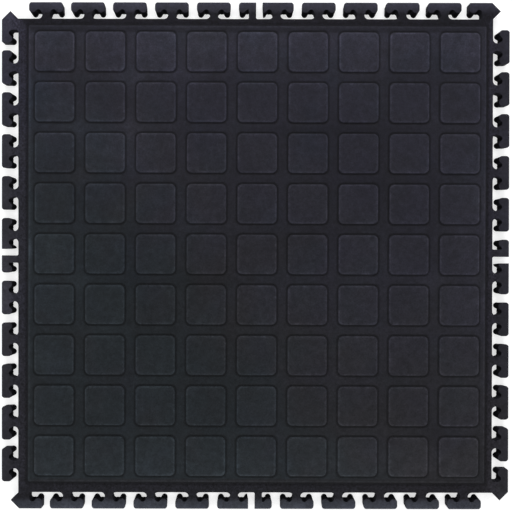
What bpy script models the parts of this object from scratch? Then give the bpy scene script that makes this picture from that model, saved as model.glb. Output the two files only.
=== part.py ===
"""Moulded rubber interlocking floor tile, lying flat with its pattern up.

One solid: a thin square ledge with hooked interlock teeth all round, a raised
plateau on it, and a nine by nine grid of low square pads on the plateau.
Metres, +Z up, the underside on z = 0 and the middle of the body on x = y = 0.
"""

import math

import bmesh
import bpy

MM = 0.001

# Module that one tile covers once it is hooked to its neighbours, and the tooth pitch on it.
MODULE = 914.4
PITCH = 78.2
TOOTH_DEPTH = 30.6
BODY = MODULE - TOOTH_DEPTH

# Heights above the floor.
LEDGE_TOP = 15.0
PLATEAU_TOP = 17.4
PAD_TOP = 19.0

# Tooth: a T-shaped hook with a wide head and a narrow stem.
HEAD_HALF = 30.7
FIT_GAP = 0.4
HOOK_TIP = 12.4
HEAD_CORNER = 4.0
STEM_ROOT = 6.4
ROOT_FILLET = 8.0

# Middle of each side: a half tooth with a straight flank, then a tooth with one arm cut short.
HALF_STEM = 12.5
SMALL_FILLET = 3.0
CUT_ARM = 13.2

# Corner piece: one hook arm, then solid up to a right-angled point.
CORNER_ARM = 5.5 * PITCH - HEAD_HALF - 0.7
CORNER_CHAMFER = (1.2, 3.6)
CORNER_FILLET = 4.7
POINT_SETBACK = 1.5

TEETH_EACH_HALF = 5

# Plateau and pads. The pattern sits a little off the middle of the cut outline, and is turned
# a little against it (degrees, clockwise from above).
PLATEAU = 851.6
PATTERN_SHIFT = (2.7, 3.1)
PATTERN_TURN = 0.095
PAD_COUNT = 9
PAD_PITCH = 94.1
PAD_FOOT = 74.6
PAD_FACE = 71.0
PAD_CORNER = 8.0
PAD_SUNK = 1.0
PAD_ARC_STEPS = 2

ARC_CORNER = 2
ARC_HOOK = 4
ARC_ARCH = 5
ARC_ROOT = 3


def arc(cx, cy, radius, start, end, steps):
    """Points on a circle from one angle to another, in degrees, ends included."""
    points = []
    for i in range(steps + 1):
        angle = math.radians(start + (end - start) * i / steps)
        points.append((cx + radius * math.cos(angle), cy + radius * math.sin(angle)))
    return points


def hook_radius(reach, rise, arch_radius):
    """Radius of a hook tip that is tangent to the pocket arch beside it.

    reach is the distance from the arch's centre to the arm's end, and rise is
    the height of the hook tip over that centre.
    """
    b = 2 * (reach - rise + arch_radius)
    c = reach**2 + rise**2 - arch_radius**2
    return (b - math.sqrt(b * b - 4 * c)) / 2


def tooth_numbers():
    """Arch centre, arch radius and hook radius of a full tooth arm."""
    a = HEAD_HALF - PITCH / 4
    b = HOOK_TIP - TOOTH_DEPTH / 2
    k = 8 * a - 8 * b + 4 * FIT_GAP
    hook = (k - math.sqrt(k * k - 16 * (4 * a * a + 4 * b * b - FIT_GAP**2))) / 8
    arch = hook + FIT_GAP
    arch_x = PITCH / 2 - (HEAD_HALF - hook)
    arch_y = TOOTH_DEPTH - (HOOK_TIP + hook)
    return arch_x, arch_y, arch, hook


def right_arm(cut=None):
    """Right half of a full tooth about its own centre line, from its top down to the body line.

    cut is where a straight flank ends a shortened arm.
    """
    arch_x, arch_y, arch, hook = tooth_numbers()
    hook_x, hook_y = HEAD_HALF - hook, HOOK_TIP + hook
    meet = math.degrees(math.atan2(hook_y - arch_y, hook_x - arch_x))
    if cut is None:
        points = arc(HEAD_HALF - HEAD_CORNER, TOOTH_DEPTH - HEAD_CORNER, HEAD_CORNER, 90, 0, ARC_CORNER)
        points += arc(hook_x, hook_y, hook, 0, meet - 180, ARC_HOOK)
    else:
        start = -math.degrees(math.acos((cut - hook_x) / hook))
        points = [(cut, TOOTH_DEPTH)]
        points += arc(hook_x, hook_y, hook, start, meet - 180, ARC_HOOK - 1)
    points += arc(arch_x, arch_y, arch, meet, 180, ARC_ARCH)[1:]
    points += arc(STEM_ROOT + ROOT_FILLET, ROOT_FILLET, ROOT_FILLET, 180, 270, ARC_ROOT)
    return points


def tooth(centre, cut_left=None):
    """A tooth's outline from its left root to its right root."""
    left = [(-x, y) for x, y in reversed(right_arm(cut_left))]
    return [(centre + x, y) for x, y in left + right_arm()]


def half_tooth():
    """The half tooth that ends at the middle of the side, with a wide straight-flanked stem."""
    arch_x, arch_y, arch, hook = tooth_numbers()
    hook_x, hook_y = HEAD_HALF - hook, HOOK_TIP + hook
    meet = math.degrees(math.atan2(hook_y - arch_y, hook_x - arch_x))
    end = math.degrees(math.acos((HALF_STEM - arch_x) / arch))
    left = arc(HEAD_HALF - HEAD_CORNER, TOOTH_DEPTH - HEAD_CORNER, HEAD_CORNER, 90, 0, ARC_CORNER)
    left += arc(hook_x, hook_y, hook, 0, meet - 180, ARC_HOOK)
    left += arc(arch_x, arch_y, arch, meet, end, ARC_ARCH - 1)[1:]
    left += arc(HALF_STEM + SMALL_FILLET, SMALL_FILLET, SMALL_FILLET, 180, 270, ARC_ROOT)
    points = [(-x, y) for x, y in reversed(left)]
    points.append((0.0, TOOTH_DEPTH))
    points += arc(SMALL_FILLET, SMALL_FILLET, SMALL_FILLET, 180, 270, ARC_ROOT)
    return points


def corner_piece():
    """The end of a side: a hook arm, a pocket, and the solid corner with its point."""
    arch_x, arch_y, arch, _ = tooth_numbers()
    arch_x = 5.5 * PITCH - arch_x
    hook = hook_radius(arch_x - CORNER_ARM, HOOK_TIP - arch_y, arch)
    hook_x, hook_y = CORNER_ARM + hook, HOOK_TIP + hook
    meet = math.degrees(math.atan2(hook_y - arch_y, hook_x - arch_x))
    wall = arch_x + arch
    points = arc(wall - CORNER_FILLET, CORNER_FILLET, CORNER_FILLET, -90, 0, ARC_ROOT)
    points += arc(arch_x, arch_y, arch, 0, meet, ARC_ARCH)
    points += arc(hook_x, hook_y, hook, meet - 180, -180, ARC_HOOK)[1:]
    points.append((CORNER_ARM, TOOTH_DEPTH - CORNER_CHAMFER[1]))
    points.append((CORNER_ARM + CORNER_CHAMFER[0], TOOTH_DEPTH))
    half = TOOTH_DEPTH / 2
    tip = BODY / 2 + half - POINT_SETBACK
    points.append((tip - half, TOOTH_DEPTH))
    points.append((tip, half))
    points.append((BODY / 2, POINT_SETBACK))
    return points


def side_outline():
    """One side from its left to its right, as (along, outwards from the body line)."""
    points = []
    for k in range(TEETH_EACH_HALF, 0, -1):
        points += tooth(-k * PITCH)
    points += half_tooth()
    points += tooth(PITCH / 2, cut_left=PITCH / 2 - CUT_ARM)
    for k in range(1, TEETH_EACH_HALF):
        points += tooth(PITCH / 2 + k * PITCH)
    return points + corner_piece()


def tile_outline():
    """The whole outline: the same side turned through four quarter turns, clockwise from above."""
    side = side_outline()
    points = []
    for quarter in range(4):
        c, s = [(1, 0), (0, -1), (-1, 0), (0, 1)][quarter]
        for along, out in side:
            x, y = along, BODY / 2 + out
            points.append((c * x - s * y, s * x + c * y))
    return points


def on_tile(x, y):
    """A point of the pattern, from its own middle and axes to the tile's."""
    c, s = math.cos(math.radians(PATTERN_TURN)), math.sin(math.radians(PATTERN_TURN))
    return PATTERN_SHIFT[0] + c * x + s * y, PATTERN_SHIFT[1] - s * x + c * y


def rounded_square(side, corner, steps):
    """A square loop with rounded corners, counter-clockwise."""
    h = side / 2 - corner
    points = []
    for quarter, (sx, sy) in enumerate([(1, 1), (-1, 1), (-1, -1), (1, -1)]):
        points += arc(sx * h, sy * h, corner, 90 * quarter, 90 * quarter + 90, steps)
    return points


def prism(name, loop, bottom, top):
    """A closed solid between two heights, extruded from a loop."""
    mesh = bmesh.new()
    verts = [mesh.verts.new((x * MM, y * MM, bottom * MM)) for x, y in loop]
    base = mesh.faces.new(verts)
    made = bmesh.ops.extrude_face_region(mesh, geom=[base])
    moved = [v for v in made["geom"] if isinstance(v, bmesh.types.BMVert)]
    bmesh.ops.translate(mesh, verts=moved, vec=(0, 0, (top - bottom) * MM))
    bmesh.ops.recalc_face_normals(mesh, faces=mesh.faces[:])
    return as_object(name, mesh)


def pads(name):
    """All the low square pads, each a small frustum sunk a little into the plateau."""
    mesh = bmesh.new()
    grow = (PAD_FOOT - PAD_FACE) * PAD_SUNK / (PAD_TOP - PLATEAU_TOP)
    foot = rounded_square(PAD_FOOT + grow, PAD_CORNER + 1, PAD_ARC_STEPS)
    face = rounded_square(PAD_FACE, PAD_CORNER, PAD_ARC_STEPS)
    for row in range(PAD_COUNT):
        for column in range(PAD_COUNT):
            cx = (column - (PAD_COUNT - 1) / 2) * PAD_PITCH
            cy = (row - (PAD_COUNT - 1) / 2) * PAD_PITCH
            placed = [[on_tile(cx + x, cy + y) for x, y in loop] for loop in (foot, face)]
            low = [mesh.verts.new((x * MM, y * MM, (PLATEAU_TOP - PAD_SUNK) * MM)) for x, y in placed[0]]
            high = [mesh.verts.new((x * MM, y * MM, PAD_TOP * MM)) for x, y in placed[1]]
            mesh.faces.new(low[::-1])
            mesh.faces.new(high)
            for i in range(len(low)):
                j = (i + 1) % len(low)
                mesh.faces.new((low[i], low[j], high[j], high[i]))
    return as_object(name, mesh)


def as_object(name, mesh):
    data = bpy.data.meshes.new(name)
    mesh.to_mesh(data)
    mesh.free()
    made = bpy.data.objects.new(name, data)
    bpy.context.scene.collection.objects.link(made)
    return made


def union(target, cutter, name):
    """Joins another solid to this one; the other is kept only as a hidden tool."""
    modifier = target.modifiers.new(name, "BOOLEAN")
    modifier.operation = "UNION"
    modifier.solver = "EXACT"
    modifier.object = cutter
    cutter.hide_render = True
    cutter.display_type = "WIRE"


def rubber():
    material = bpy.data.materials.new("rubber")
    material.use_nodes = True
    shader = material.node_tree.nodes["Principled BSDF"]
    shader.inputs["Base Color"].default_value = (0.026, 0.025, 0.029, 1.0)
    shader.inputs["Roughness"].default_value = 0.72
    shader.inputs["Metallic"].default_value = 0.0
    return material


def main():
    for item in list(bpy.data.objects):
        bpy.data.objects.remove(item, do_unlink=True)
    tile = prism("floor_tile", tile_outline(), 0.0, LEDGE_TOP)
    h = PLATEAU / 2
    square = [on_tile(x, y) for x, y in ((-h, -h), (h, -h), (h, h), (-h, h))]
    block = prism("plateau_tool", square, LEDGE_TOP - 5.0, PLATEAU_TOP)
    grid = pads("pads_tool")
    union(tile, block, "plateau")
    union(tile, grid, "pads")
    tile.data.materials.append(rubber())


main()
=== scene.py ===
"""Moulded rubber interlocking floor tile on a pale floor, seen from straight above."""

import math

import bmesh
import bpy
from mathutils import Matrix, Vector
from mathutils.geometry import delaunay_2d_cdt


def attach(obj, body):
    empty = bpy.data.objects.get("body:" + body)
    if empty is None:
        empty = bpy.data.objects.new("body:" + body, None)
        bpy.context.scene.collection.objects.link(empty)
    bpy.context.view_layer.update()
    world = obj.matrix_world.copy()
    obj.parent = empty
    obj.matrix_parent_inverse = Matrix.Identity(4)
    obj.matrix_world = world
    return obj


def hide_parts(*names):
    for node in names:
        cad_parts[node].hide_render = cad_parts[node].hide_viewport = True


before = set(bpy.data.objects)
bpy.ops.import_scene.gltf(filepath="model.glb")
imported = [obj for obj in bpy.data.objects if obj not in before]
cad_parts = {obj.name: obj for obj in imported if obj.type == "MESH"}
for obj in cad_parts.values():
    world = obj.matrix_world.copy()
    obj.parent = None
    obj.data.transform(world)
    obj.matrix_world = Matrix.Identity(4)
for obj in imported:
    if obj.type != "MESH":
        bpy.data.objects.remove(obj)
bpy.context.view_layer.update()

MM = 0.001

# ---------------------------------------------------------------- sizes, in millimetres
MODULE = 914.4
PITCH = 78.2
TOOTH_DEPTH = 30.6
BODY = MODULE - TOOTH_DEPTH

LEDGE_TOP = 15.0
PLATEAU_TOP = 17.4
PAD_TOP = 19.0

HEAD_HALF = 30.7
FIT_GAP = 0.4
HOOK_TIP = 12.4
HEAD_CORNER = 5.4
STEM_ROOT = 6.4
ROOT_FILLET = 8.0

HALF_STEM = 12.5
SMALL_FILLET = 3.0
CUT_ARM = 13.2

CORNER_ARM = 5.5 * PITCH - HEAD_HALF - 0.7
CORNER_CHAMFER = (1.2, 3.6)
CORNER_FILLET = 4.7
POINT_SETBACK = 1.5
TEETH_EACH_HALF = 5

PLATEAU = 852.05
PATTERN_SHIFT = (2.7, 3.1)
PATTERN_TURN = 0.095
PAD_COUNT = 9
PAD_PITCH = 94.18

FLANK_DRAFT = 1.5
STEM_DRAFT = 1.0
POCKET_SLOPE = 2.4
HEAD_REACH = 0.66
ACROSS = 0.9986  # all but the heads' outer line, which stays on the tile's box
FRONT_TO_BACK = 0.9971  # the tile is a little shorter front to back than across

ARC_CORNER = 4
ARC_HOOK = 10
ARC_ARCH = 12
ARC_ROOT = 5
PAD_ARC = 6


# ---------------------------------------------------------------- outline
def arc(cx, cy, radius, start, end, steps):
    points = []
    for i in range(steps + 1):
        angle = math.radians(start + (end - start) * i / steps)
        points.append((cx + radius * math.cos(angle), cy + radius * math.sin(angle)))
    return points


def hook_radius(reach, rise, arch_radius):
    b = 2 * (reach - rise + arch_radius)
    c = reach**2 + rise**2 - arch_radius**2
    return (b - math.sqrt(b * b - 4 * c)) / 2


def tooth_numbers():
    a = HEAD_HALF - PITCH / 4
    b = HOOK_TIP - TOOTH_DEPTH / 2
    k = 8 * a - 8 * b + 4 * FIT_GAP
    hook = (k - math.sqrt(k * k - 16 * (4 * a * a + 4 * b * b - FIT_GAP**2))) / 8
    arch = hook + FIT_GAP
    return PITCH / 2 - (HEAD_HALF - hook), TOOTH_DEPTH - (HOOK_TIP + hook), arch, hook


def right_arm(cut=None):
    arch_x, arch_y, arch, hook = tooth_numbers()
    hook_x, hook_y = HEAD_HALF - hook, HOOK_TIP + hook
    meet = math.degrees(math.atan2(hook_y - arch_y, hook_x - arch_x))
    if cut is None:
        points = arc(HEAD_HALF - HEAD_CORNER, TOOTH_DEPTH - HEAD_CORNER, HEAD_CORNER, 90, 0, ARC_CORNER)
        points += arc(hook_x, hook_y, hook, 0, meet - 180, ARC_HOOK)
    else:
        start = -math.degrees(math.acos((cut - hook_x) / hook))
        points = [(cut, TOOTH_DEPTH)]
        points += arc(hook_x, hook_y, hook, start, meet - 180, ARC_HOOK - 4)
    points += arc(arch_x, arch_y, arch, meet, 180, ARC_ARCH)[1:]
    points += arc(STEM_ROOT + ROOT_FILLET, ROOT_FILLET, ROOT_FILLET, 180, 270, ARC_ROOT)
    return points


def tooth(centre, cut_left=None):
    left = [(-x, y) for x, y in reversed(right_arm(cut_left))]
    return [(centre + x, y) for x, y in left + right_arm()]


def half_tooth():
    arch_x, arch_y, arch, hook = tooth_numbers()
    hook_x, hook_y = HEAD_HALF - hook, HOOK_TIP + hook
    meet = math.degrees(math.atan2(hook_y - arch_y, hook_x - arch_x))
    end = math.degrees(math.acos((HALF_STEM - arch_x) / arch))
    left = arc(HEAD_HALF - HEAD_CORNER, TOOTH_DEPTH - HEAD_CORNER, HEAD_CORNER, 90, 0, ARC_CORNER)
    left += arc(hook_x, hook_y, hook, 0, meet - 180, ARC_HOOK)
    left += arc(arch_x, arch_y, arch, meet, end, ARC_ARCH // 2)[1:]
    left += arc(HALF_STEM + SMALL_FILLET, SMALL_FILLET, SMALL_FILLET, 180, 270, ARC_ROOT)
    points = [(-x, y) for x, y in reversed(left)]
    points.append((0.0, TOOTH_DEPTH))
    points += arc(SMALL_FILLET, SMALL_FILLET, SMALL_FILLET, 180, 270, ARC_ROOT)
    return points


def corner_piece():
    arch_x, arch_y, arch, _ = tooth_numbers()
    arch_x = 5.5 * PITCH - arch_x
    hook = hook_radius(arch_x - CORNER_ARM, HOOK_TIP - arch_y, arch)
    hook_x, hook_y = CORNER_ARM + hook, HOOK_TIP + hook
    meet = math.degrees(math.atan2(hook_y - arch_y, hook_x - arch_x))
    wall = arch_x + arch
    points = arc(wall - CORNER_FILLET, CORNER_FILLET, CORNER_FILLET, -90, 0, ARC_ROOT)
    points += arc(arch_x, arch_y, arch, 0, meet, ARC_ARCH)
    points += arc(hook_x, hook_y, hook, meet - 180, -180, ARC_HOOK)[1:]
    points.append((CORNER_ARM, TOOTH_DEPTH - CORNER_CHAMFER[1]))
    points.append((CORNER_ARM + CORNER_CHAMFER[0], TOOTH_DEPTH))
    half = TOOTH_DEPTH / 2
    tip = BODY / 2 + half - POINT_SETBACK
    points.append((tip - half, TOOTH_DEPTH))
    points.append((tip, half))
    points.append((BODY / 2, POINT_SETBACK))
    return points


def side_outline():
    points = []
    for k in range(TEETH_EACH_HALF, 0, -1):
        points += tooth(-k * PITCH)
    points += half_tooth()
    points += tooth(PITCH / 2, cut_left=PITCH / 2 - CUT_ARM)
    for k in range(1, TEETH_EACH_HALF):
        points += tooth(PITCH / 2 + k * PITCH)
    return points + corner_piece()


def tile_outline():
    """The outline, clockwise from above, with points closer than 0.05 mm merged."""
    side = side_outline()
    points = []
    for quarter in range(4):
        c, s = [(1, 0), (0, -1), (-1, 0), (0, 1)][quarter]
        for along, out in side:
            x, y = along, BODY / 2 + out
            point = (c * x - s * y, s * x + c * y)
            if not points or math.dist(points[-1], point) > 0.05:
                points.append(point)
    if math.dist(points[0], points[-1]) < 0.05:
        points.pop()
    return points[::-1]


def facings(points):
    """For each point: how far its wall faces along the side (0 to 1) and outwards (-1 to 1), and how far up the head it is."""
    made = []
    n = len(points)
    for i, (x, y) in enumerate(points):
        ax, ay = points[i - 1]
        bx, by = points[(i + 1) % n]
        long = math.hypot(bx - ax, by - ay)
        out_x, out_y = (by - ay) / long, (ax - bx) / long
        along, outwards = (abs(out_x), math.copysign(out_y, out_y * y)) if abs(y) > abs(x) else (abs(out_y), math.copysign(out_x, out_x * x))
        rise = (max(abs(x), abs(y)) - BODY / 2 - 13.0) / 5.0
        made.append((along**2, outwards, max(0.0, min(1.0, rise))))
    return made


def edge_allowance(points, gaps, flanks, reach):
    """The loop a little fuller in its gaps and at its flanks, with its heads a little longer, inside the tile's box."""
    limit = BODY / 2 + TOOTH_DEPTH
    grown = inset(points, [-gaps - (flanks - gaps) * along * rise for along, _, rise in facings(points)])
    made = []
    for x, y in grown:
        x, y = max(-limit, min(limit, x)), max(-limit, min(limit, y))
        share = max(0.0, min(1.0, (max(abs(x), abs(y)) - BODY / 2 - 20.0) / (TOOTH_DEPTH - 20.0)))
        if abs(y) > abs(x):
            y += math.copysign(reach * share, y)
        else:
            x += math.copysign(reach * share, x)
        made.append((x * ACROSS, y * FRONT_TO_BACK))
    return made


def inset(points, distance):
    """The counter-clockwise loop moved inwards by one distance or one for each point, mitred."""
    made = []
    n = len(points)
    distances = distance if isinstance(distance, list) else [distance] * n
    for i in range(n):
        ax, ay = points[i - 1]
        bx, by = points[i]
        cx, cy = points[(i + 1) % n]
        ux, uy = bx - ax, by - ay
        vx, vy = cx - bx, cy - by
        ul, vl = math.hypot(ux, uy), math.hypot(vx, vy)
        n1 = (-uy / ul, ux / ul)
        n2 = (-vy / vl, vx / vl)
        mx, my = n1[0] + n2[0], n1[1] + n2[1]
        ml = math.hypot(mx, my)
        mx, my = mx / ml, my / ml
        cosine = max(0.5, mx * n1[0] + my * n1[1])
        made.append((bx + mx * distances[i] / cosine, by + my * distances[i] / cosine))
    return made


def rounded_square(half, corner, steps):
    """A square loop with rounded corners, counter-clockwise, 4 * (steps + 1) points."""
    h = half - corner
    points = []
    for quarter, (sx, sy) in enumerate([(1, 1), (-1, 1), (-1, -1), (1, -1)]):
        points += arc(sx * h, sy * h, corner, 90 * quarter, 90 * quarter + 90, steps)
    return points


# ---------------------------------------------------------------- mesh
SKIN, EDGE = 0, 1


def on_tile(x, y):
    """A point of the pattern, from its own middle and axes to the tile's."""
    c, s = math.cos(math.radians(PATTERN_TURN)), math.sin(math.radians(PATTERN_TURN))
    return ACROSS * (PATTERN_SHIFT[0] + c * x + s * y), FRONT_TO_BACK * (PATTERN_SHIFT[1] - s * x + c * y)


class Builder:
    """Collects points and faces, with a tone, a value for wear and painted light, and a zone value for each point."""

    def __init__(self):
        self.points, self.faces = [], []
        self.tone, self.wear, self.zone = [], [], []

    def loop(self, xy, z, tone, wear=0.0, zone=0.0):
        first = len(self.points)
        for x, y in xy:
            self.points.append((x * MM, y * MM, z * MM))
            self.tone.append(tone)
            self.wear.append(wear)
            self.zone.append(zone)
        return list(range(first, len(self.points)))

    def ring(self, half, corner, centre, z, tone, wear, zone=0.0, across=0.0):
        """A rounded square of the pattern; across paints shade on its front and back runs."""
        xy = [on_tile(centre[0] + x, centre[1] + y) for x, y in rounded_square(half, corner, PAD_ARC)]
        made = self.loop(xy, z, tone, wear, zone)
        for i, index in enumerate(made):
            quarter, step = divmod(i, PAD_ARC + 1)
            facing = math.sin(math.radians(90 * quarter + 90 * step / PAD_ARC)) ** 2
            self.tone[index] = tone * (1 - across * facing)
        return made

    def bridge(self, low, high, finish=SKIN):
        """Faces between two loops with as many points; low is outside or below, both counter-clockwise."""
        n = len(low)
        for i in range(n):
            j = (i + 1) % n
            self.faces.append(((low[i], low[j], high[j], high[i]), finish))

    def fill_between(self, outer, holes, up=True):
        """Triangles between a loop and the loops inside it, with no new points."""
        order = list(outer)
        loops = [list(range(len(outer)))]
        for hole in holes:
            start = len(order)
            order += hole
            loops.append(list(range(start, start + len(hole)))[::-1])
        flat = [Vector(self.points[i][:2]) * 1000 for i in order]
        found = delaunay_2d_cdt(flat, [], loops, 1 if not holes else 2, 1e-5)
        faces, origin = found[2], found[3]
        back = [order[o[0]] for o in origin]
        for face in faces:
            ids = [back[i] for i in face]
            a, b, c = (Vector(self.points[i][:2]) for i in ids[:3])
            turn = (b.x - a.x) * (c.y - a.y) - (b.y - a.y) * (c.x - a.x)
            if (turn > 0) != up:
                ids.reverse()
            self.faces.append((tuple(ids), SKIN))


def inside_holes_removed(builder, first_face, centres, half):
    """Drops triangles that fell inside the given squares."""
    kept = builder.faces[:first_face]
    for face, finish in builder.faces[first_face:]:
        x = sum(builder.points[i][0] for i in face) / len(face) / MM
        y = sum(builder.points[i][1] for i in face) / len(face) / MM
        if not any(abs(x - cx) < half and abs(y - cy) < half for cx, cy in centres):
            kept.append((face, finish))
    builder.faces = kept


# past the half side, corner radius, height, tone, wear, zone: from the ledge up over the plateau's rim; the tone is
# painted shade in the valley at the plateau's foot and a painted highlight on the rounded rim
PLATEAU_RINGS = (
    (8.2, 9.5, LEDGE_TOP, 1.0, 0.0, 1.0),
    (6.8, 8.2, LEDGE_TOP - 0.05, 0.92, 0.0, 1.0),
    (5.4, 7.0, LEDGE_TOP - 0.35, 0.62, 0.0, 1.0),
    (3.8, 5.6, LEDGE_TOP - 0.65, 0.45, 0.0, 1.0),
    (2.2, 4.4, LEDGE_TOP - 0.65, 0.42, 0.0, 0.8),
    (0.9, 3.4, LEDGE_TOP - 0.10, 0.50, 0.0, 0.5),
    (-0.2, 2.9, PLATEAU_TOP - 1.2, 0.70, 0.1, 0.0),
    (-0.9, 2.7, PLATEAU_TOP - 0.60, 0.95, 0.6, 0.0),
    (-1.7, 2.5, PLATEAU_TOP - 0.20, 1.06, 0.7, 0.0),
    (-2.7, 2.1, PLATEAU_TOP - 0.04, 1.07, 0.7, 0.0),
    (-3.9, 1.7, PLATEAU_TOP, 0.98, 0.4, 0.0),
    (-5.4, 1.2, PLATEAU_TOP, 0.85, 0.0, 0.0),
)

# half side, corner radius, height, tone, wear, across: from the web, through the groove and over the pad's rim; the
# groove's low tone and across are painted shade, the rim's high tone a painted highlight
PAD_RINGS = (
    (41.8, 12.4, PLATEAU_TOP, 0.85, 0.0, 0.0),
    (41.0, 11.9, PLATEAU_TOP - 0.10, 0.80, 0.0, 0.06),
    (40.1, 11.4, PLATEAU_TOP - 0.38, 0.64, 0.0, 0.14),
    (39.2, 10.9, PLATEAU_TOP - 0.66, 0.50, 0.0, 0.24),
    (38.3, 10.4, PLATEAU_TOP - 0.74, 0.45, 0.0, 0.28),
    (37.5, 9.9, PLATEAU_TOP - 0.50, 0.50, 0.0, 0.26),
    (37.1, 9.6, PLATEAU_TOP + 0.15, 0.62, 0.0, 0.18),
    (36.8, 9.4, PLATEAU_TOP + 0.65, 0.80, 0.3, 0.08),
    (36.3, 9.1, PLATEAU_TOP + 1.10, 1.05, 0.8, 0.0),
    (35.7, 8.7, PLATEAU_TOP + 1.38, 1.22, 1.0, 0.0),
    (34.9, 8.2, PAD_TOP - 0.07, 1.26, 1.0, 0.0),
    (33.9, 7.7, PAD_TOP - 0.01, 1.16, 0.6, 0.0),
    (32.6, 7.1, PAD_TOP, 1.04, 0.2, 0.0),
    (29.0, 6.0, PAD_TOP, 1.0, 0.0, 0.0),
)


def make_tile():
    b = Builder()
    outline = edge_allowance(tile_outline(), 0.50, 0.88, HEAD_REACH)

    # underside, outer wall and the small rounding of the ledge's top edge; flanks and stems are drafted
    faced = facings(outline)
    draft = []
    for along, outwards, rise in faced:
        draft.append(along * (FLANK_DRAFT * rise + STEM_DRAFT * (1 - rise)) - POCKET_SLOPE * max(0.0, -outwards) ** 2)
    under = b.loop(inset(outline, [0.5 + d for d in draft]), 0.0, 0.8, 0.0, 1.0)
    foot = b.loop(inset(outline, draft), 0.5, 0.8, 0.0, 1.0)
    wall = b.loop(outline, LEDGE_TOP - 0.42, 0.8, 0.0, 1.0)
    # on the walls the wear value is painted light only: the flanks, most up the heads, and the walls facing outwards
    # are lit
    for ring in (under, foot, wall):
        for index, (along, outwards, rise) in zip(ring, faced):
            b.wear[index] = max(along * (0.45 + 0.55 * rise), 0.75 * outwards)
    b.bridge(under, foot, EDGE)
    b.bridge(foot, wall, EDGE)
    last = wall
    for depth, drop, tone, wear in ((0.07, 0.22, 0.85, 0.3), (0.22, 0.06, 0.9, 0.4), (0.42, 0.0, 0.9, 0.2), (0.85, 0.0, 1.0, 0.0)):
        ring = b.loop(inset(outline, depth), LEDGE_TOP - drop, tone, wear, 1.0)
        b.bridge(last, ring)
        last = ring
    b.fill_between(under, [], up=False)
    ledge_outer = last

    # the ledge, the shallow valley at the plateau's foot, its drafted wall and rounded rim
    rings = []
    for grow, corner, z, tone, wear, zone in PLATEAU_RINGS:
        rings.append(b.ring(PLATEAU / 2 + grow, corner, (0.0, 0.0), z, tone, wear, zone))
    for low, high in zip(rings, rings[1:]):
        b.bridge(low, high)
    b.fill_between(ledge_outer, [rings[0]], up=True)

    # web between the pads, and the pads themselves
    centres = []
    first_holes = []
    for row in range(PAD_COUNT):
        for column in range(PAD_COUNT):
            cx = (column - (PAD_COUNT - 1) / 2) * PAD_PITCH
            cy = (row - (PAD_COUNT - 1) / 2) * PAD_PITCH
            centres.append(on_tile(cx, cy))
            last = None
            for half, corner, z, tone, wear, across in PAD_RINGS:
                ring = b.ring(half, corner, (cx, cy), z, tone, wear, 0.0, across)
                if last is None:
                    first_holes.append(ring)
                else:
                    b.bridge(last, ring)
                last = ring
            b.faces.append((tuple(last), SKIN))
    start = len(b.faces)
    b.fill_between(rings[-1], first_holes, up=True)
    inside_holes_removed(b, start, centres, PAD_RINGS[0][0] - 4.0)

    mesh = bpy.data.meshes.new("tile_rubber")
    mesh.from_pydata(b.points, [], [face for face, _ in b.faces])
    mesh.update()
    mesh.polygons.foreach_set("material_index", [finish for _, finish in b.faces])
    for name, values in (("tone", b.tone), ("wear", b.wear), ("zone", b.zone)):
        layer = mesh.attributes.new(name, "FLOAT", "POINT")
        layer.data.foreach_set("value", values)
    work = bmesh.new()
    work.from_mesh(mesh)
    bmesh.ops.recalc_face_normals(work, faces=work.faces[:])
    for face in work.faces:
        face.smooth = True
    open_edges = sum(1 for e in work.edges if len(e.link_faces) != 2)
    triangles = sum(len(face.verts) - 2 for face in work.faces)
    work.to_mesh(mesh)
    work.free()
    mesh.set_sharp_from_angle(angle=math.radians(42))
    made = bpy.data.objects.new("tile_rubber", mesh)
    bpy.context.scene.collection.objects.link(made)
    print("tile:", triangles, "triangles,", open_edges, "open edges")
    return made


# ---------------------------------------------------------------- material
def node(tree, kind, **values):
    made = tree.nodes.new(kind)
    for key, value in values.items():
        if key in made.inputs:
            made.inputs[key].default_value = value
        else:
            setattr(made, key, value)
    return made


def maths(tree, operation, a, b=None, clamp=False):
    made = tree.nodes.new("ShaderNodeMath")
    made.operation = operation
    made.use_clamp = clamp
    for socket, value in zip(made.inputs, (a, b)):
        if value is None:
            continue
        if isinstance(value, (int, float)):
            socket.default_value = value
        else:
            tree.links.new(value, socket)
    return made.outputs[0]


def ramp(tree, value, low, high, to_low=0.0, to_high=1.0):
    made = tree.nodes.new("ShaderNodeMapRange")
    made.clamp = True
    tree.links.new(value, made.inputs["Value"])
    made.inputs["From Min"].default_value = low
    made.inputs["From Max"].default_value = high
    made.inputs["To Min"].default_value = to_low
    made.inputs["To Max"].default_value = to_high
    return made.outputs[0]


def noise(tree, coords, scale, detail=3.0, rough=0.55, distortion=0.0, stretch=None):
    if stretch:
        mapping = tree.nodes.new("ShaderNodeMapping")
        mapping.inputs["Scale"].default_value = stretch
        tree.links.new(coords, mapping.inputs["Vector"])
        coords = mapping.outputs[0]
    made = tree.nodes.new("ShaderNodeTexNoise")
    made.inputs["Scale"].default_value = scale
    made.inputs["Detail"].default_value = detail
    made.inputs["Roughness"].default_value = rough
    made.inputs["Distortion"].default_value = distortion
    tree.links.new(coords, made.inputs["Vector"])
    return made.outputs["Fac"]


def smooth_step(tree, value, low, high):
    made = tree.nodes.new("ShaderNodeMapRange")
    made.interpolation_type = "SMOOTHSTEP"
    tree.links.new(value, made.inputs["Value"])
    made.inputs["From Min"].default_value = low
    made.inputs["From Max"].default_value = high
    return made.outputs[0]


def blend(tree, share, low, high):
    """low + share * (high - low), for numbers or sockets."""
    made = tree.nodes.new("ShaderNodeMix")
    made.data_type = "FLOAT"
    made.clamp_factor = True
    for key, value in (("Factor", share), ("A", low), ("B", high)):
        socket = made.inputs[key]
        if isinstance(value, (int, float)):
            socket.default_value = value
        else:
            tree.links.new(value, socket)
    return made.outputs["Result"]


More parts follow.
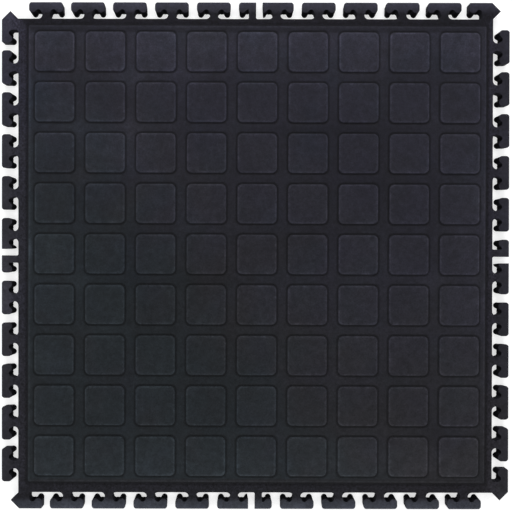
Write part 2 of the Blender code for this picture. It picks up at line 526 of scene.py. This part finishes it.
def smudge(tree, coords, x, y, wide, high):
    """1 in the middle of an oval patch on the tile, 0 outside it; millimetres."""
    mapping = tree.nodes.new("ShaderNodeMapping")
    mapping.inputs["Location"].default_value = (-x / wide, -y / high, 0.0)
    mapping.inputs["Scale"].default_value = (1000 / wide, 1000 / high, 0.0)
    tree.links.new(coords, mapping.inputs["Vector"])
    length = tree.nodes.new("ShaderNodeVectorMath")
    length.operation = "LENGTH"
    tree.links.new(mapping.outputs[0], length.inputs[0])
    return smooth_step(tree, length.outputs["Value"], 1.0, 0.0)


# bands along the sides where the pads and the web are painted lighter, as painted light: middle, half width and half
# height in mm, strength
LIT_BANDS = (
    (0.0, 412.0, 1600.0, 112.0, 0.36),
    (0.0, -412.0, 1600.0, 104.0, 0.27),
    (428.0, 60.0, 96.0, 900.0, 0.16),
    (-428.0, 0.0, 96.0, 900.0, 0.12),
)

# paler, dustier patches and darker wiped ones: middle, half width and half height in mm, strength
DUST = (
    (-235.0, 205.0, 160.0, 92.0, 0.24),
    (-376.0, -188.0, 62.0, 56.0, 0.20),
    (-376.0, 2.0, 56.0, 50.0, 0.12),
    (-376.0, 285.0, 60.0, 60.0, 0.08),
    (-180.0, -395.0, 330.0, 130.0, 0.08),
    (404.0, 392.0, 80.0, 80.0, 0.18),
    (-232.0, 329.0, 62.0, 34.0, 0.24),
    (-130.0, 329.0, 62.0, 30.0, 0.16),
    (255.0, 329.0, 210.0, 24.0, -0.12),
    (160.0, 235.0, 300.0, 24.0, -0.16),
    (-90.0, -47.0, 260.0, 22.0, -0.14),
    (329.0, -47.0, 42.0, 40.0, 0.16),
    (-331.0, 238.0, 40.0, 26.0, 0.18),
    (-236.0, 238.0, 34.0, 30.0, 0.26),
    (-140.0, 424.0, 60.0, 10.0, 0.25),
    (222.0, 20.0, 18.0, 14.0, 0.40),
    (-419.0, 11.0, 8.0, 34.0, 0.60),
    (393.0, 48.0, 50.0, 14.0, 0.26),
    (-47.0, -329.0, 60.0, 20.0, 0.14),
    (-329.0, 141.0, 26.0, 60.0, -0.10),
    (424.0, 85.0, 9.0, 48.0, 0.40),
    (421.0, -95.0, 9.0, 40.0, 0.28),
    (-455.0, 446.0, 44.0, 50.0, 0.60),
    (455.0, -446.0, 44.0, 44.0, 0.30),
    (-457.0, -80.0, 32.0, 120.0, 0.34),
    (-457.0, -340.0, 32.0, 120.0, -0.20),
    (457.0, 130.0, 32.0, 110.0, -0.14),
    (457.0, -95.0, 32.0, 120.0, -0.20),
    (457.0, -330.0, 32.0, 100.0, 0.14),
)


# smears that lie only in the web between the pads, the same way
SMEARS = (
    (195.0, 135.0, 330.0, 230.0, -0.20),
    (-236.0, 329.0, 60.0, 40.0, 0.16),
    (-329.0, 141.0, 44.0, 38.0, 0.26),
    (-329.0, -47.0, 44.0, 38.0, 0.24),
    (-286.0, -141.0, 90.0, 34.0, 0.14),
    (329.0, -47.0, 40.0, 36.0, 0.16),
    (340.0, -329.0, 66.0, 50.0, -0.22),
    (-180.0, 47.0, 120.0, 30.0, -0.12),
    (-235.0, -329.0, 44.0, 34.0, 0.14),
    (141.0, -235.0, 60.0, 40.0, 0.12),
)


def patch_sum(tree, coords, patches):
    total = None
    for x, y, wide, high, strength in patches:
        patch = maths(tree, "MULTIPLY", smudge(tree, coords, x, y, wide, high), strength)
        total = patch if total is None else maths(tree, "ADD", total, patch)
    return total


def rubber():
    material = bpy.data.materials.new("black_rubber")
    material.use_nodes = True
    tree = material.node_tree
    shader = tree.nodes["Principled BSDF"]
    coords = tree.nodes.new("ShaderNodeTexCoord").outputs["Object"]
    tone = node(tree, "ShaderNodeAttribute", attribute_name="tone").outputs["Fac"]
    wear = node(tree, "ShaderNodeAttribute", attribute_name="wear").outputs["Fac"]
    zone = node(tree, "ShaderNodeAttribute", attribute_name="zone").outputs["Fac"]

    # where on the tile: how far past the body line, and on which pair of sides
    split = tree.nodes.new("ShaderNodeSeparateXYZ")
    tree.links.new(coords, split.inputs[0])
    px, py = split.outputs["X"], split.outputs["Y"]
    ax = maths(tree, "ABSOLUTE", px)
    ay = maths(tree, "ABSOLUTE", py)
    beyond = maths(tree, "SUBTRACT", maths(tree, "MAXIMUM", ax, ay), BODY / 2 * MM)
    head = smooth_step(tree, beyond, 0.008, 0.018)
    tip = smooth_step(tree, beyond, 0.014, 0.031)
    ends = smooth_step(tree, maths(tree, "SUBTRACT", ay, ax), -0.012, 0.012)
    right = smooth_step(tree, px, 0.40, 0.44)
    back = smooth_step(tree, py, -0.40, 0.40)
    rim = smooth_step(tree, maths(tree, "MAXIMUM", ax, ay), 0.4125, 0.4175)

    # slow mottling, dusty patches and a fine grain
    slow = noise(tree, coords, 7.0, 3.0, 0.55)
    each = noise(tree, coords, 19.0, 1.0, 0.5)
    patches = noise(tree, coords, 48.0, 4.0, 0.60, 0.3)
    blotch = noise(tree, coords, 130.0, 3.0, 0.60, 0.2)
    grain = noise(tree, coords, 360.0, 3.0, 0.65)
    speck = noise(tree, coords, 300.0, 4.0, 0.7)

    level = maths(tree, "MULTIPLY", ramp(tree, slow, 0.3, 0.7, 0.90, 1.10), ramp(tree, patches, 0.28, 0.72, 0.86, 1.15))
    level = maths(tree, "MULTIPLY", level, ramp(tree, blotch, 0.28, 0.72, 0.80, 1.22))
    level = maths(tree, "MULTIPLY", level, ramp(tree, grain, 0.25, 0.75, 0.68, 1.34))

    # rims lighter in places: part wear, part painted highlight
    edge = maths(tree, "MULTIPLY", wear, ramp(tree, blotch, 0.35, 0.65, 0.0, 1.0))
    level = maths(tree, "MULTIPLY", level, blend(tree, edge, 1.0, 1.35))

    # painted light and shade: the ledge darker and the hooked heads lighter than the pads, the heads lighter towards
    # their tips, most so at the front and back
    ledge = blend(tree, ends, blend(tree, right, blend(tree, back, 0.90, 1.02), 0.82), blend(tree, back, 0.57, 0.38))
    low = blend(tree, ends, blend(tree, right, 1.14, 0.87), blend(tree, back, 1.80, 1.17))
    high = blend(tree, ends, blend(tree, right, 1.34, 0.97), blend(tree, back, 2.85, 1.93))
    heads = maths(tree, "MULTIPLY", blend(tree, tip, low, high), ramp(tree, each, 0.3, 0.7, 0.82, 1.18))
    shade = maths(tree, "MULTIPLY", tone, blend(tree, zone, 1.0, blend(tree, head, ledge, heads)))
    level = maths(tree, "MULTIPLY", level, maths(tree, "MAXIMUM", shade, 0.36))

    # coarse speckle on the ledge and the stems, fainter on the heads
    open_grain = maths(tree, "MULTIPLY", zone, ramp(tree, head, 0.0, 1.0, 1.0, 0.14))
    level = maths(tree, "MULTIPLY", level, blend(tree, open_grain, 1.0, ramp(tree, speck, 0.33, 0.67, 0.32, 1.74)))

    # painted light in bands along the sides lies on the pads and the web, and the strip outside the pads and the ledge
    # have none of it; patches of dust lie anywhere
    inner = maths(tree, "MULTIPLY", maths(tree, "SUBTRACT", 1.0, zone), maths(tree, "SUBTRACT", 1.0, rim))
    dust_and_light = maths(tree, "MULTIPLY", patch_sum(tree, coords, LIT_BANDS), inner)
    dust_and_light = maths(tree, "ADD", dust_and_light, patch_sum(tree, coords, DUST))
    dust_and_light = maths(tree, "MULTIPLY", dust_and_light, ramp(tree, patches, 0.35, 0.65, 0.75, 1.25))
    level = maths(tree, "MULTIPLY", level, maths(tree, "ADD", dust_and_light, 1.0))
    web = smooth_step(tree, tone, 0.97, 0.88)
    smears = maths(tree, "MULTIPLY", patch_sum(tree, coords, SMEARS), maths(tree, "MULTIPLY", inner, web))
    level = maths(tree, "MULTIPLY", level, maths(tree, "ADD", smears, 1.0))
    strip = blend(tree, ends, blend(tree, right, blend(tree, back, 1.10, 1.42), 0.91), blend(tree, back, 0.88, 0.82))
    level = maths(tree, "MULTIPLY", level, blend(tree, maths(tree, "MULTIPLY", rim, maths(tree, "SUBTRACT", 1.0, zone)), 1.0, strip))

    # the black drifts from violet at the back to green-blue at the front left
    hue = noise(tree, coords, 15.0, 2.0, 0.5)
    sheen = noise(tree, coords, 11.0, 2.0, 0.5, 0.3)
    lean = maths(tree, "ADD", px, maths(tree, "MULTIPLY", py, 0.8))
    teal = maths(tree, "ADD", smooth_step(tree, lean, 0.02, -0.35), ramp(tree, hue, 0.3, 0.7, -0.30, 0.30), clamp=True)
    rise = maths(tree, "ADD", py, maths(tree, "MULTIPLY", px, 0.55))
    violet = maths(tree, "ADD", smooth_step(tree, rise, -0.32, 0.42), ramp(tree, sheen, 0.3, 0.7, -0.25, 0.25), clamp=True)
    # the ledge stays violet, and so do the heads except at the front
    cold = blend(tree, head, maths(tree, "MULTIPLY", teal, 0.25), maths(tree, "MULTIPLY", ends, blend(tree, back, 0.45, 0.0)))
    teal = blend(tree, zone, maths(tree, "MULTIPLY", teal, blend(tree, maths(tree, "MULTIPLY", rim, ends), 1.0, 0.35)), cold)
    violet = maths(tree, "ADD", violet, maths(tree, "MULTIPLY", zone, blend(tree, right, 0.35, 0.0)), clamp=True)
    tint = tree.nodes.new("ShaderNodeCombineXYZ")
    tree.links.new(ramp(tree, teal, 0.0, 1.0, 0.0151, 0.0115), tint.inputs["X"])
    plain = maths(tree, "MULTIPLY", zone, maths(tree, "SUBTRACT", 1.0, head))
    tree.links.new(ramp(tree, plain, 0.0, 1.0, 0.0148, 0.0141), tint.inputs["Y"])
    tree.links.new(ramp(tree, violet, 0.0, 1.0, 0.0177, 0.0227), tint.inputs["Z"])
    colour = tree.nodes.new("ShaderNodeVectorMath")
    colour.operation = "SCALE"
    tree.links.new(tint.outputs[0], colour.inputs[0])
    tree.links.new(level, colour.inputs["Scale"])
    tree.links.new(colour.outputs[0], shader.inputs["Base Color"])

    rough = maths(tree, "ADD", ramp(tree, patches, 0.3, 0.7, 0.60, 0.74), ramp(tree, grain, 0.3, 0.7, -0.04, 0.04))
    rough = maths(tree, "SUBTRACT", rough, maths(tree, "MULTIPLY", edge, 0.08))
    tree.links.new(maths(tree, "SUBTRACT", rough, maths(tree, "MULTIPLY", maths(tree, "MULTIPLY", head, zone), 0.12)), shader.inputs["Roughness"])
    shader.inputs["Specular IOR Level"].default_value = 0.12
    shader.inputs["Metallic"].default_value = 0.0

    # moulded skin: fine grain everywhere, coarser and deeper on the ledge and the stems
    coarse = noise(tree, coords, 300.0, 4.0, 0.65)
    height = maths(tree, "MULTIPLY", grain, 0.35)
    height = maths(tree, "ADD", height, maths(tree, "MULTIPLY", blotch, 0.6))
    height = maths(tree, "ADD", height, maths(tree, "MULTIPLY", patches, 0.7))
    height = maths(tree, "ADD", height, maths(tree, "MULTIPLY", maths(tree, "MULTIPLY", coarse, open_grain), 1.6))
    bump = tree.nodes.new("ShaderNodeBump")
    bump.inputs["Strength"].default_value = 0.6
    bump.inputs["Distance"].default_value = 0.0007
    tree.links.new(height, bump.inputs["Height"])
    tree.links.new(bump.outputs[0], shader.inputs["Normal"])
    return material


def rubber_edge():
    """The walls of the teeth: dead matt, painted near black as shade in the pockets and, as painted light, as pale as
    the face on the heads' flanks.
    """
    material = bpy.data.materials.new("black_rubber_edge")
    material.use_nodes = True
    tree = material.node_tree
    shader = tree.nodes["Principled BSDF"]
    coords = tree.nodes.new("ShaderNodeTexCoord").outputs["Object"]
    scoring = noise(tree, coords, 700.0, 3.0, 0.6, 0.0, stretch=(1.0, 1.0, 0.08))
    patches = noise(tree, coords, 90.0, 4.0, 0.6)
    level = maths(tree, "MULTIPLY", ramp(tree, scoring, 0.3, 0.7, 0.75, 1.25), ramp(tree, patches, 0.3, 0.7, 0.75, 1.25))
    lit_flank = node(tree, "ShaderNodeAttribute", attribute_name="wear").outputs["Fac"]
    # painted light: the heads' flanks up to seven times paler than the pocket walls' painted shade
    level = maths(tree, "MULTIPLY", level, blend(tree, smooth_step(tree, lit_flank, 0.1, 0.9), 1.0, 7.0))
    colour = tree.nodes.new("ShaderNodeVectorMath")
    colour.operation = "SCALE"
    colour.inputs[0].default_value = (0.0042, 0.0042, 0.0052)
    tree.links.new(level, colour.inputs["Scale"])
    tree.links.new(colour.outputs[0], shader.inputs["Base Color"])
    tree.links.new(ramp(tree, patches, 0.3, 0.7, 0.86, 0.96), shader.inputs["Roughness"])
    shader.inputs["Specular IOR Level"].default_value = 0.02
    bump = tree.nodes.new("ShaderNodeBump")
    bump.inputs["Strength"].default_value = 0.6
    bump.inputs["Distance"].default_value = 0.0005
    tree.links.new(scoring, bump.inputs["Height"])
    tree.links.new(bump.outputs[0], shader.inputs["Normal"])
    return material


# ---------------------------------------------------------------- floor, light and camera
def floor():
    bpy.ops.mesh.primitive_plane_add(size=8.0, location=(0, 0, 0))
    made = bpy.context.object
    made.name = "floor"
    material = bpy.data.materials.new("pale_floor")
    material.use_nodes = True
    shader = material.node_tree.nodes["Principled BSDF"]
    shader.inputs["Base Color"].default_value = (0.50, 0.50, 0.50, 1.0)
    shader.inputs["Roughness"].default_value = 0.9
    shader.inputs["Specular IOR Level"].default_value = 0.1
    shader.inputs["Emission Color"].default_value = (1.0, 1.0, 1.0, 1.0)
    shader.inputs["Emission Strength"].default_value = 0.62
    made.data.materials.append(material)
    made.location.z = -0.0002
    return made


def area_light(name, place, target, size, power, size_y=None):
    data = bpy.data.lights.new(name, "AREA")
    data.energy = power
    data.size = size
    if size_y:
        data.shape = "RECTANGLE"
        data.size_y = size_y
    made = bpy.data.objects.new(name, data)
    made.location = place
    made.rotation_euler = (Vector(target) - Vector(place)).to_track_quat("-Z", "Y").to_euler()
    bpy.context.scene.collection.objects.link(made)
    return made


def lights():
    world = bpy.data.worlds.new("studio")
    bpy.context.scene.world = world
    world.use_nodes = True
    back = world.node_tree.nodes["Background"]
    back.inputs["Color"].default_value = (0.97, 0.98, 1.0, 1.0)
    back.inputs["Strength"].default_value = 0.33
    area_light("back_softbox", (0.0, 2.0, 1.35), (0, 0, 0), 1.8, 25.0, 1.0)
    area_light("left_softbox", (-2.0, -0.1, 1.35), (0, 0, 0), 1.6, 19.5, 1.0)
    area_light("front_softbox", (0.2, -2.0, 1.35), (0, 0, 0), 1.8, 22.5, 1.0)
    area_light("right_softbox", (2.0, 0.2, 1.35), (0, 0, 0), 1.6, 17.0, 1.0)
    area_light("back_strip", (-0.05, 0.86, 0.55), (0, 0.40, 0), 1.1, 0.8, 0.12)


def camera():
    """Down on the tile, leaning 0.2 degrees; the point under the lens is a little left of the picture's middle."""
    height = 0.926
    scale = 0.53675  # pixels per millimetre at the ledge
    focal = scale * (height / MM - LEDGE_TOP)
    under_x, under_y = 236.0, 259.1
    centre_x, centre_y = 255.365, 255.833
    data = bpy.data.cameras.new("camera")
    data.sensor_fit = "HORIZONTAL"
    data.sensor_width = 36.0
    data.lens = focal / 512 * 36.0
    lean = 0.00344
    axis_y = under_y + focal * lean + 0.25
    data.shift_x = (256 - under_x) / 512
    data.shift_y = (axis_y - 256) / 512
    data.clip_start = 0.01
    made = bpy.data.objects.new("camera", data)
    made.location = ((under_x - centre_x) / scale * MM, (centre_y - under_y) / scale * MM, height)
    made.rotation_euler = (-lean, 0, 0.00186)
    bpy.context.scene.collection.objects.link(made)
    bpy.context.scene.camera = made


tile = make_tile()
tile.data.materials.append(rubber())
tile.data.materials.append(rubber_edge())
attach(tile, "root")
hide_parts("floor_tile")
floor()
lights()
camera()
view = bpy.context.scene.view_settings
view.view_transform = "Standard"
view.look = "None"
view.exposure = 0.0
